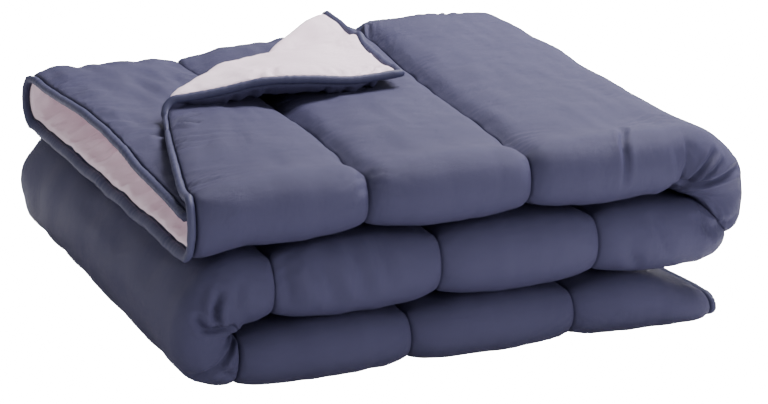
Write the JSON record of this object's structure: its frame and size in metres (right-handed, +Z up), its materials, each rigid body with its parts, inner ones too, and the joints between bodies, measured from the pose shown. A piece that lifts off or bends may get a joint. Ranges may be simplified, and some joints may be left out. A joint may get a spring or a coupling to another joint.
{
  "type": "bed comforter",
  "caption": "Channel-quilted bed comforter with cord edging, folded into a thick stack, one loose corner turned back over its top.",
  "frame": {"origin": "middle of the folded stack's footprint, on the floor", "axes": "+X along the folded strips, towards the right turn; +Y from the front roll to the back rolls; +Z up"},
  "size_m": [0.7546, 0.732, 0.3094],
  "materials": {
    "face_cloth": "slate blue brushed microfibre with a soft sheen",
    "edge_cloth": "dark slate blue microfibre over cord"
  },
  "bodies": {
    "root": {"quilt": "face_cloth", "edge_cord": "edge_cloth"}
  },
  "joints": []
}
